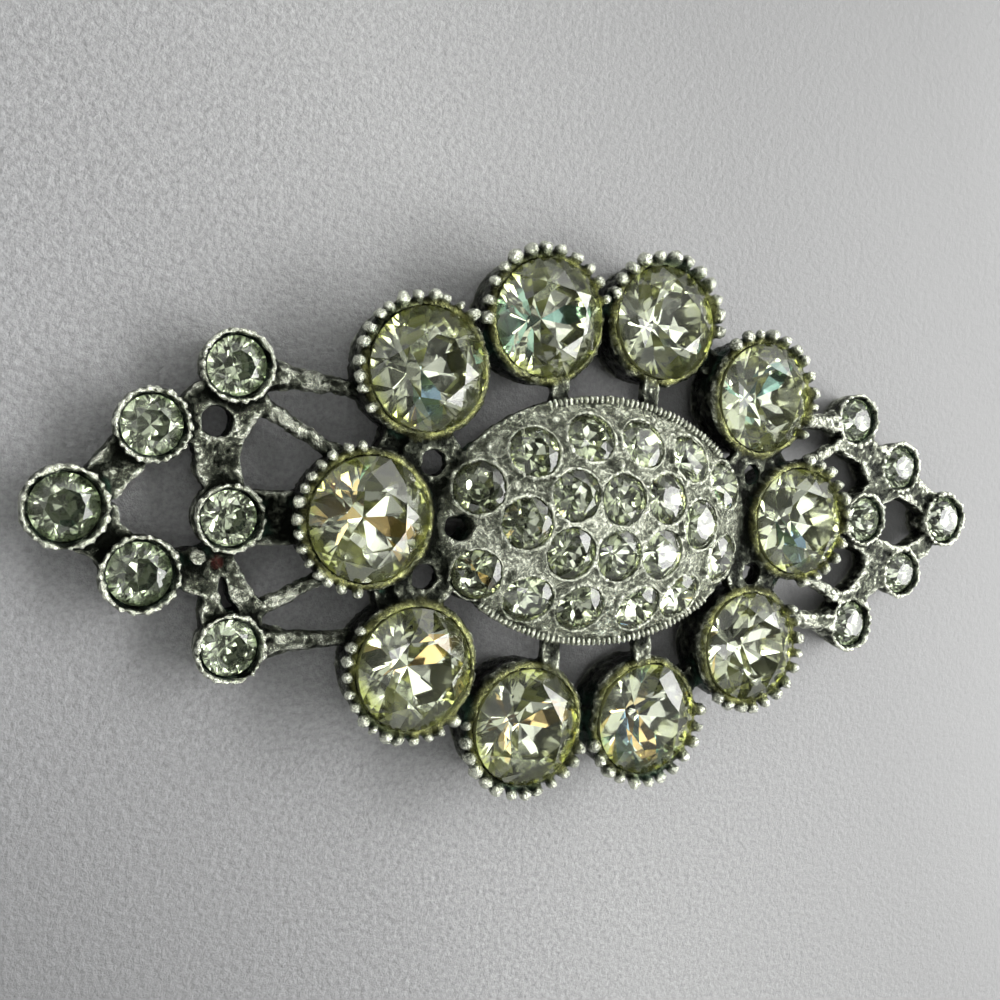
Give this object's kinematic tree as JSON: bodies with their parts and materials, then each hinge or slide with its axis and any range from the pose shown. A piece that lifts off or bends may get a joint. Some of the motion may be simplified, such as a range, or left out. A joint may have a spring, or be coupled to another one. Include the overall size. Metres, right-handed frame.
{
  "type": "rhinestone brooch",
  "caption": "Openwork cast-metal brooch: large round faceted stones ring a domed oval plaque of small stones, with small stones in an openwork wing at each end.",
  "frame": {"origin": "middle of the brooch's outline, on the plane that its back lies on", "axes": "+X along the brooch, +Y across it, +Z out of its face"},
  "size_m": [0.0766, 0.0396, 0.008],
  "materials": {
    "cast_metal": "worn silver-coloured cast white metal with bright rubbed edges and dark tarnish in the recesses",
    "large_glass": "clear pale yellow-green cut glass, foil-backed",
    "small_glass": "clear cut glass, foil-backed and slightly greyed",
    "pin_steel": "plain silver-coloured steel"
  },
  "bodies": {
    "root": {"frame": "cast_metal", "ring_stone_01": "large_glass", "ring_stone_02": "large_glass", "ring_stone_03": "large_glass", "ring_stone_04": "large_glass", "ring_stone_05": "large_glass", "ring_stone_06": "large_glass", "ring_stone_07": "large_glass", "ring_stone_08": "large_glass", "ring_stone_09": "large_glass", "ring_stone_10": "large_glass", "wing_stone_left_tip": "small_glass", "wing_stone_left_upper": "small_glass", "wing_stone_left_lower": "small_glass", "wing_stone_left_top": "small_glass", "wing_stone_left_bottom": "small_glass", "wing_stone_left_inner": "small_glass", "wing_stone_right_tip": "small_glass", "wing_stone_right_upper": "small_glass", "wing_stone_right_lower": "small_glass", "wing_stone_right_top": "small_glass", "wing_stone_right_bottom": "small_glass", "wing_stone_right_inner": "small_glass", "pave_stone_01": "small_glass", "pave_stone_02": "small_glass", "pave_stone_03": "small_glass", "pave_stone_04": "small_glass", "pave_stone_05": "small_glass", "pave_stone_06": "small_glass", "pave_stone_07": "small_glass", "pave_stone_08": "small_glass", "pave_stone_09": "small_glass", "pave_stone_10": "small_glass", "pave_stone_11": "small_glass", "pave_stone_12": "small_glass", "pave_stone_13": "small_glass", "pave_stone_14": "small_glass", "pave_stone_15": "small_glass", "pave_stone_16": "small_glass", "pave_stone_17": "small_glass", "pave_stone_18": "small_glass", "pave_stone_19": "small_glass", "pave_stone_20": "small_glass", "back_pin": "pin_steel"}
  },
  "joints": []
}
